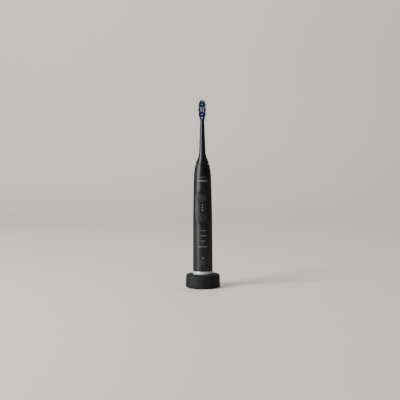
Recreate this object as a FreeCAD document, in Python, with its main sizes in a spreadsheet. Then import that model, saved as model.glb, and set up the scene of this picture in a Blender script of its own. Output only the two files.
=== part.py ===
"""Rechargeable sonic toothbrush standing on its round charger, as an assembly of separate pieces.

Row frame: +Z up, origin at the bottom centre of the charger, front (buttons and bristles) towards -Y.
Every driving dimension is a cell of the spreadsheet "Sizes"; sketches and features are bound to those cells.
"""

import FreeCAD, Part
import math
import os
import Sketcher

X_AXIS, Y_AXIS = -1, -2  # the sketcher's own names for its two axes
START, END, CENTRE = 1, 2, 3  # the sketcher's own names for a curve's points

# alias, value (mm unless the note says otherwise), note
DIMENSIONS = [
    ("gap", 0.05, "assembly gap between neighbouring pieces"),
    # charger
    ("foot_height", 0.8, "how far the rubber foot ring lifts the charger"),
    ("puck_r", 24.5, "charger radius at its widest, near the table"),
    ("puck_top_r", 23.95, "charger radius under the top rounding"),
    ("puck_top", 19.0, "charger top above the table"),
    ("puck_round", 2.6, "rounding of the charger's top edge"),
    ("puck_wall", 2.2, "charger wall and top thickness"),
    ("puck_bore_r", 21.6, "inside radius of the charger shell"),
    ("seat_r", 15.2, "radius of the shallow seat for the handle"),
    ("seat_z", 18.6, "height of the seat, where the handle rests"),
    ("post_r", 3.6, "charging post radius"),
    ("post_top", 27.4, "top of the charging post"),
    ("post_wall", 1.2, "charging post wall"),
    ("base_thick", 2.5, "bottom cover thickness"),
    ("board_post", 1.1, "height of the posts that carry the charger's board"),
    ("boss_ring_r", 18.0, "radius of the circle of screw bosses"),
    ("screw_r", 1.0, "charger screw shank radius"),
    ("gland_z", 7.4, "height of the cord gland's axis"),
    ("gland_r", 2.6, "cord gland radius where it passes the wall"),
    ("gland_bore_r", 1.75, "bore of the cord gland"),
    ("gland_length", 8.2, "length of the cord gland"),
    # handle
    ("ring_low", 19.05, "underside of the light ring"),
    ("ring_high", 23.4, "top of the light ring"),
    ("ring_r", 14.5, "light ring radius at its bulge"),
    ("handle_foot_r", 13.85, "handle radius just above the light ring"),
    ("handle_low", 23.5, "lower rim of the handle shell"),
    ("waist_r", 13.5, "handle radius at the waist"),
    ("waist_z", 85.0, "height of the waist"),
    ("shoulder_r", 12.25, "handle radius where the shoulder begins"),
    ("shoulder_z", 154.0, "height where the shoulder begins"),
    ("shell_top_r", 10.44, "handle radius at the top of the shell"),
    ("shell_top", 170.4, "top of the handle shell"),
    ("nose_r", 9.95, "nose cap radius at its top edge"),
    ("nose_top", 174.1, "top of the nose cap"),
    ("wall", 1.8, "handle wall thickness"),
    ("pad_z", 113.6, "height of the thumb pad's middle"),
    ("pad_half_width", 10.3, "half of the thumb pad's width"),
    ("pad_end", 13.4, "from the pad's middle to the centre of its round ends"),
    ("pad_curve_r", 17.0, "radius of the pad's face, flatter than the handle"),
    ("pad_axis_y", 5.1, "how far behind the handle's axis that radius is centred"),
    ("pad_thick", 2.2, "thumb pad thickness"),
    ("power_r", 6.5, "power button radius"),
    ("mode_r", 5.9, "mode button radius"),
    ("button_travel", 0.4, "travel of both buttons"),
    ("button_proud", 0.35, "how far both buttons stand out of the pad"),
    ("button_gap", 0.25, "gap around the buttons"),
    ("dot_pitch", 3.9, "spacing of the three intensity lights"),
    ("dot_r", 0.75, "radius of an intensity light"),
    # inside the handle
    ("board_front_y", 7.6, "front face of the main board, in front of the axis"),
    ("board_thick", 1.0, "board thickness"),
    ("board_half_width", 7.3, "half of the main board's width"),
    ("board_low", 32.6, "lower end of the main board"),
    ("board_high", 133.0, "upper end of the main board"),
    ("board_hole_x", 5.6, "how far the board's four screws are from its middle line"),
    ("frame_r", 10.6, "carrier outside radius"),
    ("frame_wall", 1.1, "carrier wall"),
    ("frame_low", 32.5, "lower end of the carrier"),
    ("frame_high", 133.5, "upper end of the carrier"),
    ("cell_r", 7.0, "battery cell radius"),
    ("cell_length", 48.5, "battery cell length"),
    ("cell_y", 2.3, "how far behind the axis the cell sits"),
    ("cell_low", 35.0, "lower end of the cell"),
    ("shaft_r", 2.0, "drive shaft radius"),
    ("shaft_low", 112.0, "lower end of the drive shaft"),
    ("shaft_top", 193.0, "top of the drive shaft"),
    ("run_gap", 0.05, "radial running clearance on the shaft"),
    # brush head
    ("skirt_low", 174.9, "lower rim of the brush head"),
    ("skirt_r", 9.72, "brush head radius at its lower rim"),
    ("neck_low", 192.5, "where the flare becomes the neck"),
    ("neck_low_r", 4.4, "neck radius at its foot"),
    ("neck_high", 236.0, "where the neck meets the bristle plate"),
    ("neck_high_r", 2.95, "neck radius at the bristle plate"),
    ("plate_z", 250.5, "middle of the bristle field"),
    ("plate_half_width", 5.3, "half of the bristle plate's width"),
    ("head_top", 264.2, "top of the bristle plate"),
    ("plate_front", 2.2, "front face of the bristle plate, ahead of the axis"),
    ("plate_back", 1.9, "back face of the bristle plate, behind the axis"),
    ("tuft_r", 0.75, "tuft radius"),
    ("tuft_depth", 2.4, "depth of a tuft hole"),
    ("tuft_out", 9.2, "how far a tuft stands out of the plate"),
    ("tuft_pitch", 2.16, "spacing of the tuft rows"),
]


class Size:
    """A length together with the spreadsheet formula that gives it."""

    def __init__(self, value, formula):
        self.value = float(value)
        self.formula = formula

    def __add__(self, other):
        other = as_size(other)
        return Size(self.value + other.value, f"({self.formula} + {other.formula})")

    def __sub__(self, other):
        other = as_size(other)
        return Size(self.value - other.value, f"({self.formula} - {other.formula})")

    def __truediv__(self, other):
        return self.value / other.value

    def __mul__(self, factor):
        return Size(self.value * factor, f"({self.formula} * {factor})")

    def __neg__(self):
        return Size(-self.value, f"(-1 * {self.formula})")

    def __radd__(self, other):
        return as_size(other) + self

    def __rsub__(self, other):
        return as_size(other) - self


def as_size(number):
    """A plain number as a Size, or a Size as it is."""
    return number if isinstance(number, Size) else Size(number, repr(float(number)))


class Cells:
    """Reads a spreadsheet cell by its alias: cells.puck_r is a Size."""

    def __getattr__(self, alias):
        value = next(row[1] for row in DIMENSIONS if row[0] == alias)
        return Size(value, f"Sizes.{alias}")


doc = FreeCAD.newDocument("toothbrush")
sheet = doc.addObject("Spreadsheet::Sheet", "Sizes")
for row, (alias, value, note) in enumerate(DIMENSIONS, 1):
    sheet.set(f"A{row}", note)
    sheet.set(f"B{row}", str(value))
    sheet.setAlias(f"B{row}", alias)
doc.recompute()
cell = Cells()
pieces = []


def piece(label):
    """A new PartDesign body that becomes one sub-part."""
    body = doc.addObject("PartDesign::Body", label)
    body.Label = label
    body.AllowCompound = True
    pieces.append(body)
    return body


def bind(thing, prop, size):
    """Binds one property to its formula."""
    thing.setExpression(prop, as_size(size).formula)


def sketch_on(body, role, offset=0):
    """A sketch on one of the body's origin planes, moved along that plane's normal.

    XY_Plane: sketch x, y are X, Y and the normal is +Z. XZ_Plane: sketch x, y are X, Z and the normal is -Y.
    YZ_Plane: sketch x, y are Y, Z and the normal is +X.
    """
    sketch = body.newObject("Sketcher::SketchObject", f"{body.Name}_sketch")
    plane = next(f for f in body.Origin.OriginFeatures if f.Role == role)
    sketch.AttachmentSupport = (plane, [""])
    sketch.MapMode = "FlatFace"
    bind(sketch, "AttachmentOffset.Base.z", offset)
    return sketch


def fix_point(sketch, curve, end, x, y):
    """Ties one point of a curve to its x and y."""
    for kind, axis, size in (("DistanceX", Y_AXIS, x), ("DistanceY", X_AXIS, y)):
        if abs(size.value) < 1e-9:
            sketch.addConstraint(Sketcher.Constraint("PointOnObject", curve, end, axis))
        elif size.value > 0:
            n = sketch.addConstraint(Sketcher.Constraint(kind, -1, 1, curve, end, size.value))
            sketch.setExpression(f"Constraints[{n}]", size.formula)
        else:
            n = sketch.addConstraint(Sketcher.Constraint(kind, curve, end, -1, 1, -size.value))
            sketch.setExpression(f"Constraints[{n}]", (-size).formula)


def arc_from(start, heading, finish):
    """The arc that leaves start along heading and ends at finish: (curve, turns left, heading at its end)."""
    chord = finish - start
    left = FreeCAD.Vector(-heading.y, heading.x, 0)
    reach = chord.dot(chord) / (2 * left.dot(chord))
    centre = start + left * reach
    turns_left = reach > 0
    first, last = (start, finish) if turns_left else (finish, start)
    angles = [math.atan2((p - centre).y, (p - centre).x) for p in (first, last)]
    circle = Part.Circle(centre, FreeCAD.Vector(0, 0, 1), abs(reach))
    spoke = (finish - centre).normalize()
    side = 1 if turns_left else -1
    return Part.ArcOfCircle(circle, *angles), turns_left, FreeCAD.Vector(-spoke.y, spoke.x, 0) * side


def draw(sketch, outline):
    """Draws a closed outline. Each entry is the next corner (x, y), or (x, y, "arc") for an arc that carries on from
    the piece before it without a kink and ends at x, y. The outline closes itself with a line if it has to."""
    corners = [(as_size(p[0]), as_size(p[1]), len(p) > 2) for p in outline]
    first, last = corners[0], corners[-1]
    closed = abs(first[0].value - last[0].value) + abs(first[1].value - last[1].value) < 1e-9
    if not closed:
        corners.append((first[0], first[1], False))
    heading = FreeCAD.Vector(0, 1, 0)
    opening = previous = None
    for n in range(1, len(corners)):
        x, y, is_arc = corners[n]
        start = FreeCAD.Vector(corners[n - 1][0].value, corners[n - 1][1].value, 0)
        finish = FreeCAD.Vector(x.value, y.value, 0)
        if is_arc:
            shape, turns_left, heading = arc_from(start, heading, finish)
            ends = (START, END) if turns_left else (END, START)
        else:
            shape, ends = Part.LineSegment(start, finish), (START, END)
            heading = (finish - start).normalize()
        curve = sketch.addGeometry(shape)
        if previous is None:
            opening = (curve, ends[0])
            fix_point(sketch, curve, ends[0], *corners[0][:2])
        else:
            kind = "Tangent" if is_arc else "Coincident"
            sketch.addConstraint(Sketcher.Constraint(kind, *previous, curve, ends[0]))
        previous = (curve, ends[1])
        if n < len(corners) - 1:
            fix_point(sketch, curve, ends[1], x, y)
    sketch.addConstraint(Sketcher.Constraint("Coincident", *previous, *opening))
    return sketch


def draw_circle(sketch, x, y, radius):
    """Draws a circle tied to its centre and radius."""
    x, y, radius = as_size(x), as_size(y), as_size(radius)
    centre = FreeCAD.Vector(x.value, y.value, 0)
    curve = sketch.addGeometry(Part.Circle(centre, FreeCAD.Vector(0, 0, 1), radius.value))
    fix_point(sketch, curve, CENTRE, x, y)
    n = sketch.addConstraint(Sketcher.Constraint("Radius", curve, radius.value))
    sketch.setExpression(f"Constraints[{n}]", radius.formula)
    return sketch


def box_outline(low_x, low_y, high_x, high_y):
    return [(low_x, low_y), (high_x, low_y), (high_x, high_y), (low_x, high_y)]


def slot_outline(x, y, half_width, half_straight):
    """An upright slot with round ends, about (x, y)."""
    left, right = x - half_width, x + half_width
    low, high = y - half_straight, y + half_straight
    return [(right, low), (right, high), (left, high, "arc"), (left, low), (right, low, "arc")]


def level_slot_outline(x, y, half_straight, half_height):
    """A level slot with round ends, about (x, y)."""
    left, right = x - half_straight, x + half_straight
    low, high = y - half_height, y + half_height
    return [(left, low), (right, low), (right, high, "arc"), (left, high), (left, low, "arc")]


def feature(body, kind, sketch, size_prop, size, **facts):
    made = body.newObject(f"PartDesign::{kind}", f"{body.Name}_{kind.lower()}")
    made.Profile = sketch
    if kind == "Revolution":
        made.ReferenceAxis = (sketch, ["V_Axis"])
    for prop, value in facts.items():
        setattr(made, prop, value)
    bind(made, size_prop, size)
    return made


def turn(body, outline, angle=360, role="XZ_Plane"):
    """Adds a solid of revolution about Z, from (radius, height) corners; less than a full turn is centred on role."""
    sketch = draw(sketch_on(body, role), outline)
    return feature(body, "Revolution", sketch, "Angle", angle, Midplane=angle < 360)


def turned(label, outline):
    """A piece that is one solid of revolution about Z."""
    body = piece(label)
    turn(body, outline)
    return body


def pad(body, outlines, role, offset, length, backwards=False):
    """Pads outlines (corner lists, or (x, y, r) circles) from a plane, along its normal or backwards."""
    sketch = sketch_on(body, role, offset)
    for outline in outlines:
        draw_circle(sketch, *outline) if isinstance(outline, tuple) else draw(sketch, outline)
    return feature(body, "Pad", sketch, "Length", length, Reversed=backwards)


def pocket(body, outlines, role, offset, length, backwards=False):
    """Cuts outlines out of the body, against the plane's normal, or along it if backwards."""
    sketch = sketch_on(body, role, offset)
    for outline in outlines:
        draw_circle(sketch, *outline) if isinstance(outline, tuple) else draw(sketch, outline)
    return feature(body, "Pocket", sketch, "Length", length, Reversed=backwards)


def around(body, base, count):
    """Repeats one feature around the Z axis."""
    pattern = body.newObject("PartDesign::PolarPattern", f"{body.Name}_pattern")
    pattern.Originals = [base]
    z_axis = next(f for f in body.Origin.OriginFeatures if f.Role == "Z_Axis")
    pattern.Axis = (z_axis, [""])
    pattern.Angle = 360
    pattern.Occurrences = count
    body.Tip = pattern
    return pattern


def points_along(edge):
    """Seven points spread over an edge."""
    first, last = edge.FirstParameter, edge.LastParameter
    return [edge.valueAt(first + (last - first) * n / 6) for n in range(7)]


def soften(body, radius, wanted):
    """Rounds the edges of the body's last feature for which wanted(edge) is true."""
    doc.recompute()
    base = body.Tip
    names = [f"Edge{n}" for n, edge in enumerate(base.Shape.Edges, 1) if wanted(edge)]
    made = body.newObject("PartDesign::Fillet", f"{body.Name}_fillet")
    made.Base = (base, names)
    bind(made, "Radius", radius)
    return made


def ring(low, high, inner, outer):
    """The outline of a plain ring about Z."""
    return [(inner, low), (outer, low), (outer, high), (inner, high)]


def disc(low, high, radius):
    """The outline of a plain disc or rod about Z."""
    return [(0, low), (radius, low), (radius, high), (0, high)]


FAR = 60.0  # longer than any cut has to be
WIDE = 40.0  # wider than the whole object
SCREWS = 3


# ---------------------------------------------------------------- charger


def charger_housing():
    """Moulded shell: side wall, top with the handle's seat, hollow charging post and screw bosses."""
    body = piece("charger_housing")
    low = cell.foot_height
    top_edge = cell.puck_top - cell.puck_round
    ceiling = cell.puck_top - cell.puck_wall
    hollow_r = cell.post_r - cell.post_wall
    post_tip = cell.post_top - 1.2
    turn(body, [
        (cell.puck_bore_r, low), (cell.puck_r - 1.9, low), (cell.puck_r, low + 2.1, "arc"),
        (cell.puck_top_r, top_edge), (cell.puck_top_r - cell.puck_round, cell.puck_top, "arc"),
        (cell.seat_r, cell.puck_top), (cell.seat_r - 0.3, cell.seat_z), (cell.post_r, cell.seat_z),
        (cell.post_r, post_tip), (cell.post_r - 1.2, cell.post_top, "arc"), (0, cell.post_top),
        (0, cell.post_top - cell.post_wall), (hollow_r, cell.post_top - cell.post_wall),
        (hollow_r, ceiling), (cell.puck_bore_r, ceiling),
    ])
    boss_low = cell.foot_height + cell.base_thick + cell.gap
    boss = pad(body, [(0, -cell.boss_ring_r, 2.5), (0, -cell.boss_ring_r, cell.screw_r + cell.gap)],
               "XY_Plane", boss_low, ceiling - boss_low)
    around(body, boss, SCREWS)
    notch_r = cell.gland_r + cell.gap
    pocket(body, [[(notch_r, low - 1), (notch_r, cell.gland_z), (-notch_r, cell.gland_z, "arc"),
                   (-notch_r, low - 1)]], "XZ_Plane", 0, FAR)


def charger_base():
    """Bottom cover: a disc with a groove for the foot ring, sunk screw holes, board posts and the gland's saddle."""
    body = piece("charger_base")
    low, high = cell.foot_height, cell.foot_height + cell.base_thick
    groove_low = cell.foot_height + 0.7
    edge = cell.puck_bore_r - 0.1
    turn(body, [(0, low), (15.4, low), (15.4, groove_low), (20.6, groove_low), (20.6, low), (edge, low),
                (edge, high), (0, high)])
    hole = pocket(body, [(0, -cell.boss_ring_r, cell.screw_r + 0.2)], "XY_Plane", high + 1, 5.0)
    sink = pocket(body, [(0, -cell.boss_ring_r, 1.95)], "XY_Plane", high - 0.8, 5.0)
    around(body, hole, SCREWS)
    around(body, sink, SCREWS)
    post = pad(body, [(0, 12.4, 1.3)], "XY_Plane", high, cell.board_post)
    around(body, post, 4)
    tab_angle = 2 * math.degrees(math.asin(cell.gland_r / cell.puck_r))
    tab_back = edge - 0.4
    turn(body, [(tab_back, low), (cell.puck_r - 1.9, low), (cell.puck_r, low + 2.1, "arc"),
                (cell.puck_r - 0.1, cell.gland_z), (tab_back, cell.gland_z)], tab_angle, "YZ_Plane")
    pocket(body, [(0, cell.gland_z, cell.gland_r + cell.gap)], "XZ_Plane", 0, FAR)


def charger_small_parts():
    """Foot ring, screws, gland, board and the parts that stand on the board."""
    turned("foot_ring", [(15.5, 0.3), (15.8, 0), (20.2, 0), (20.5, 0.3), (20.5, cell.foot_height + 0.7),
                         (15.5, cell.foot_height + 0.7)])
    screws = piece("charger_screws")
    head_low = cell.foot_height + 0.8
    head = pad(screws, [(0, -cell.boss_ring_r, 1.85)], "XY_Plane", head_low, 0.85)
    shank = pad(screws, [(0, -cell.boss_ring_r, cell.screw_r)], "XY_Plane", head_low, 9.5)
    cross = pocket(screws, [box_outline(-0.25, -cell.boss_ring_r - 1.1, 0.25, -cell.boss_ring_r + 1.1)],
                   "XY_Plane", head_low + 0.5, 2.0)
    for made in (head, shank, cross):
        around(screws, made, SCREWS)
    gland = piece("cord_gland")
    pad(gland, [(0, cell.gland_z, cell.gland_r)], "XZ_Plane", -cell.puck_r, cell.gland_length)
    pad(gland, [(0, cell.gland_z, cell.gland_r + 0.9)], "XZ_Plane", -(cell.puck_bore_r - 0.75), 1.5)
    pocket(gland, [(0, cell.gland_z, cell.gland_bore_r)], "XZ_Plane", 0, FAR)
    board_low = cell.foot_height + cell.base_thick + cell.board_post
    board = piece("charger_board")
    pad(board, [(0, 0, 14.3)], "XY_Plane", board_low, 1.0)
    pocket(board, [(0, 0, 1.2)], "XY_Plane", board_low + 2, 5.0)
    on_board = board_low + 1.0
    capacitor = piece("charger_capacitors")
    pad(capacitor, [(11.6, 0, 2.0), (-11.6, 0, 2.0)], "XY_Plane", on_board, 6.2)
    chip = piece("charger_chips")
    pad(chip, [box_outline(-2.5, -13.4, 2.5, -10.4), box_outline(4.5, -11.4, 7.5, -9.4)], "XY_Plane",
        on_board, 1.3)


def charger_coil():
    """The primary coil on its bobbin, around a ferrite rod that runs up into the post."""
    low, high = cell.foot_height + 4.7, cell.puck_top - cell.puck_wall - 0.1
    hub = 2.95
    turned("charger_bobbin", [(2.2, low), (9.0, low), (9.0, low + 0.9), (hub, low + 0.9), (hub, high - 0.9),
                              (9.0, high - 0.9), (9.0, high), (2.2, high)])
    turned("charger_coil", ring(low + 0.9 + cell.gap, high - 0.9 - cell.gap, hub + cell.gap, 8.5))
    turned("charger_core", disc(low, cell.post_top - cell.post_wall - 0.3, 2.12))


# ---------------------------------------------------------------- handle shell and its foot


def outer_handle():
    """The handle's outside from its lower rim up to the shell's top, as outline entries."""
    return [(cell.handle_foot_r, cell.handle_low), (cell.waist_r, cell.waist_z),
            (cell.shoulder_r, cell.shoulder_z, "arc"), (cell.shell_top_r, cell.shell_top, "arc")]


def handle_housing():
    """One-piece moulded tube, open at both ends, with the pad's opening and the slots for the light pipes."""
    body = piece("handle_housing")
    turn(body, outer_handle() + [
        (cell.shell_top_r - cell.wall, cell.shell_top), (cell.shoulder_r - cell.wall, cell.shoulder_z),
        (cell.waist_r - cell.wall, cell.waist_z), (cell.handle_foot_r - cell.wall, cell.handle_low)])
    opening = slot_outline(as_size(0), cell.pad_z, cell.pad_half_width + cell.gap, cell.pad_end)
    pocket(body, [opening], "XZ_Plane", 0, FAR, backwards=True)
    top_of_opening = cell.pad_z.value + cell.pad_end.value + cell.pad_half_width.value + 1
    soften(body, 0.25, lambda edge: edge.BoundBox.ZMax < top_of_opening and edge.BoundBox.ZMin > cell.waist_z.value
           and all(math.hypot(p.x, p.y) > cell.shoulder_r.value + 0.1 for p in points_along(edge)))
    pocket(body, light_slots(cell.gap), "XZ_Plane", 0, FAR, backwards=True)


# (x, height, half of the straight length, half of the height) of each light-pipe window in the shell
MODE_WINDOWS = [(1.2, 81.4, 2.6, 0.3), (1.6, 74.2, 3.6, 0.3), (0.6, 66.8, 2.4, 0.3), (0, 62.5, 0.15, 0.45),
                (0, 58.7, 6.4, 0.3)]
STATUS_WINDOWS = [(0, 42.9, 0.6, 0.9)] + [(x, z, 0.3, 0.4) for z in (34.2, 36.3, 38.4) for x in (-1.6, 1.6)]


def light_slots(grow, windows=None):
    """Outlines of the light-pipe windows, grown by a gap."""
    return [level_slot_outline(as_size(x), as_size(z), as_size(straight), half + as_size(grow))
            for x, z, straight, half in windows or MODE_WINDOWS + STATUS_WINDOWS]


def light_pipes(label, windows):
    """Clear plastic bars that fill windows in the shell, flush with its outside."""
    body = piece(label)
    turn(body, outer_handle()[:2] + [
        (cell.waist_r - cell.wall - 0.4, cell.waist_z), (cell.handle_foot_r - cell.wall - 0.4, cell.handle_low)])
    pocket(body, [box_outline(-WIDE, 0, WIDE, 100.0)] + light_slots(0, windows), "XZ_Plane", 0, FAR, backwards=True)
    pocket(body, [box_outline(-WIDE, 0, WIDE, 100.0)], "XZ_Plane", 0, FAR)


def foot_of_handle():
    """End cap with the charging socket, its seal, the light ring, and the coil and light board inside it."""
    lip = cell.handle_foot_r + 0.05
    plug = cell.handle_foot_r - cell.wall - 0.1
    socket_r = cell.post_r + 0.3
    floor = cell.seat_z + 1.6
    roof = cell.post_top + 0.7
    turned("end_cap", [
        (socket_r, cell.seat_z), (lip - 0.3, cell.seat_z), (lip, cell.seat_z + 0.25), (lip, cell.ring_low - cell.gap),
        (12.5, cell.ring_low - cell.gap), (12.5, cell.ring_high + cell.gap), (plug, cell.ring_high + cell.gap),
        (plug, 25.0), (plug - 0.8, 25.0), (plug - 0.8, 26.5), (plug, 26.5), (plug, 31.4), (plug - 1.4, 31.4),
        (plug - 1.4, floor), (socket_r + 1.1, floor), (socket_r + 1.1, roof + 1.2), (0, roof + 1.2), (0, roof),
        (socket_r, roof)])
    turned("light_ring", [
        (12.55, cell.ring_low), (cell.ring_r - 0.4, cell.ring_low),
        (cell.ring_r, cell.ring_low + 1.0), (cell.ring_r, cell.ring_high - 1.6),
        (cell.ring_r - 0.55, cell.ring_high, "arc"), (12.55, cell.ring_high)])
    seal = piece("end_cap_seal")
    ring_sketch = draw_circle(sketch_on(seal, "XZ_Plane"), plug - 0.36, 25.75, 0.43)
    feature(seal, "Revolution", ring_sketch, "Angle", 360)
    hub = socket_r + 1.2
    low, high = floor + 0.1, 27.4
    turned("receive_bobbin", [(hub, low), (9.9, low), (9.9, low + 0.7), (hub + 0.7, low + 0.7),
                              (hub + 0.7, high - 0.7), (9.9, high - 0.7), (9.9, high), (hub, high)])
    turned("receive_coil", ring(low + 0.7 + cell.gap, high - 0.7 - cell.gap, hub + 0.7 + cell.gap, 9.4))
    board = piece("ring_light_board")
    pad(board, [(0, 0, 10.2), (0, 0, hub + 0.6)], "XY_Plane", 28.6, 0.8)
    lights = piece("ring_lights")
    diode = pad(lights, [box_outline(7.4, -0.8, 9.0, 0.8)], "XY_Plane", 29.4, 0.6)
    around(lights, diode, 4)


# ---------------------------------------------------------------- buttons


def curved_plate(body, front, back, low, high):
    """A plate bent like the thumb pad's face. front and back are heights of its faces above the pad's face."""
    half = cell.pad_half_width
    axis_y, outer, inner = cell.pad_axis_y, cell.pad_curve_r + front, cell.pad_curve_r + back
    sketch = sketch_on(body, "XY_Plane", low)
    curves = []
    for radius in (outer, inner):
        reach = math.acos(half.value / radius.value)
        arc = Part.ArcOfCircle(Part.Circle(FreeCAD.Vector(0, axis_y.value, 0), FreeCAD.Vector(0, 0, 1), radius.value),
                               math.pi + reach, 2 * math.pi - reach)
        curve = sketch.addGeometry(arc)
        fix_point(sketch, curve, CENTRE, as_size(0), axis_y)
        n = sketch.addConstraint(Sketcher.Constraint("Radius", curve, radius.value))
        sketch.setExpression(f"Constraints[{n}]", radius.formula)
        for end, side in ((START, -1), (END, 1)):
            points = (curve, end, -1, 1) if side < 0 else (-1, 1, curve, end)
            n = sketch.addConstraint(Sketcher.Constraint("DistanceX", *points, half.value))
            sketch.setExpression(f"Constraints[{n}]", half.formula)
        curves.append(arc)
    for side, end in ((0, START), (1, END)):
        ends = [(a.StartPoint, a.EndPoint)[side] for a in curves]
        line = sketch.addGeometry(Part.LineSegment(*ends))
        sketch.addConstraint(Sketcher.Constraint("Coincident", line, START, 0, end))
        sketch.addConstraint(Sketcher.Constraint("Coincident", line, END, 1, end))
    return feature(body, "Pad", sketch, "Length", high - low)


def on_face(edge, radius):
    """True if an edge lies all along a round face of this radius about the thumb pad's own axis."""
    return all(abs(math.hypot(p.x, p.y - cell.pad_axis_y.value) - radius) < 0.01 for p in points_along(edge))


def keep_inside(body, outline):
    """Cuts away what lies outside an outline, seen from the front."""
    pocket(body, [box_outline(-WIDE, 60.0, WIDE, 160.0), outline], "XZ_Plane", -20.0, FAR, backwards=True)


def thumb_pad():
    """Soft pad let into the handle's front: flatter than the handle, with round holes for buttons and lights."""
    body = piece("button_pad")
    low, high = cell.pad_z - 25, cell.pad_z + 25
    curved_plate(body, as_size(0), -cell.pad_thick, low, high)
    keep_inside(body, slot_outline(as_size(0), cell.pad_z, cell.pad_half_width, cell.pad_end))
    power_z, mode_z = cell.pad_z + cell.pad_end, cell.pad_z - cell.pad_end
    holes = [(0, power_z, cell.power_r + cell.button_gap), (0, mode_z, cell.mode_r + cell.button_gap)]
    holes += [(0, cell.pad_z + cell.dot_pitch * n, cell.dot_r + cell.gap) for n in (-1, 0, 1)]
    pocket(body, holes, "XZ_Plane", 0, FAR, backwards=True)
    soften(body, 0.3, lambda edge: edge.BoundBox.ZLength > 5 and on_face(edge, cell.pad_curve_r.value))
    dots = piece("intensity_lights")
    curved_plate(dots, as_size(0), -cell.pad_thick - 0.3, low, high)
    sketch_lights = [(0, cell.pad_z + cell.dot_pitch * n, cell.dot_r) for n in (-1, 0, 1)]
    pocket(dots, [box_outline(-WIDE, 60.0, WIDE, 160.0)] + sketch_lights, "XZ_Plane", -20.0, FAR, backwards=True)


def button(label, height, radius):
    """A round push button: a curved cap with a stem that reaches back to its switch."""
    body = piece(label)
    low, high = height - radius - 2, height + radius + 2
    curved_plate(body, cell.button_proud, cell.button_proud - 1.5, low, high)
    keep_inside(body, (0, height, radius))
    front_r = (cell.pad_curve_r + cell.button_proud).value
    soften(body, 0.4, lambda edge: on_face(edge, front_r))
    stem_front = cell.pad_curve_r - cell.pad_axis_y - 0.6
    stem_back = cell.board_front_y + SWITCH_HEIGHT + PLUNGER_HEIGHT
    pad(body, [(0, height, 1.4)], "XZ_Plane", stem_back, stem_front - stem_back)
    return body


SWITCH_HEIGHT = 0.9
PLUNGER_HEIGHT = 0.5


def switches():
    """Two push switches on the main board, each with its own plunger."""
    bodies = piece("switch_bodies")
    heights = (cell.pad_z + cell.pad_end, cell.pad_z - cell.pad_end)
    front = cell.board_front_y
    pad(bodies, [box_outline(-2.2, z - 2.2, 2.2, z + 2.2) for z in heights], "XZ_Plane", front, SWITCH_HEIGHT)
    pocket(bodies, [(0, z, 1.0) for z in heights], "XZ_Plane", front + 0.2, FAR, backwards=True)
    for label, height in (("power_plunger", heights[0]), ("mode_plunger", heights[1])):
        plunger = piece(label)
        rest = PLUNGER_HEIGHT + 0.25
        pad(plunger, [(0, height, 0.92)], "XZ_Plane", front + SWITCH_HEIGHT + PLUNGER_HEIGHT - rest, rest)


# ---------------------------------------------------------------- inside the handle


BOARD_HOLES = (36.5, 130.5)  # heights of the main board's screws


def boards():
    """Main board behind the buttons, with its lights and chips."""
    board = piece("main_board")
    half = cell.board_half_width
    low, high = cell.board_low, cell.board_high
    outline = box_outline(-half, low, half, high)
    pad(board, [outline], "XZ_Plane", cell.board_front_y - cell.board_thick, cell.board_thick)
    holes = [(cell.board_hole_x * side, z, 0.6) for side in (-1, 1) for z in BOARD_HOLES]
    pocket(board, holes, "XZ_Plane", 0, FAR, backwards=True)
    screws = piece("board_screws")
    pad(screws, [(x, z, 0.9) for x, z, _ in holes], "XZ_Plane", cell.board_front_y, 0.4)
    pad(screws, [(x, z, 0.5) for x, z, _ in holes], "XZ_Plane", cell.board_front_y - 2.8, 2.9)
    lights = piece("board_lights")
    spots = [(0, cell.pad_z + cell.dot_pitch * n) for n in (-1, 0, 1)]
    spots += [(x, as_size(z)) for x, z, _, _ in MODE_WINDOWS + STATUS_WINDOWS]
    pad(lights, [box_outline(x - 0.5, z - 0.3, x + 0.5, z + 0.3) for x, z in spots],
        "XZ_Plane", cell.board_front_y, 0.4)
    chips = piece("board_chips")
    pad(chips, [box_outline(-6.5, 84.0, -1.5, 89.0), box_outline(2.0, 85.0, 5.5, 88.0),
                box_outline(-5.5, 47.0, -2.0, 51.0), box_outline(2.4, 46.0, 6.4, 50.0)],
        "XZ_Plane", cell.board_front_y, 1.0)


def carrier():
    """Half-round tray that holds battery, board and motor, and slides into the handle from below."""
    body = piece("carrier")
    inner = cell.frame_r - cell.frame_wall
    turn(body, ring(cell.frame_low, cell.frame_high, inner, cell.frame_r))
    turn(body, disc(cell.frame_low, cell.frame_low + 1.2, cell.frame_r))
    shelf_low = cell.cell_low + cell.cell_length + 1.2
    turn(body, disc(shelf_low, shelf_low + 1.2, cell.frame_r))
    front = cell.board_front_y - cell.board_thick - 2.0
    pocket(body, [box_outline(-WIDE, -WIDE, WIDE, -front)], "XY_Plane", cell.frame_high + 1, 110.0)
    rail_front = cell.board_front_y - cell.board_thick - cell.gap
    rail_back = front - 0.2
    rails = [[(side * x, -y) for x, y in ((4.8, rail_front), (8.3, rail_front), (9.0, rail_front - 0.95),
                                          (9.0, rail_back), (4.8, rail_back))] for side in (-1, 1)]
    for rail in rails:
        pad(body, [rail], "XY_Plane", cell.frame_low, cell.frame_high - cell.frame_low)
    holes = [(cell.board_hole_x * side, z, 0.55) for side in (-1, 1) for z in BOARD_HOLES]
    pocket(body, holes, "XZ_Plane", 0, FAR, backwards=True)
    pocket(body, [box_outline(-5.5, z, 5.5, z + 9.0) for z in (40.0, 54.0, 68.0)], "XZ_Plane", 0, FAR)


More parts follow.
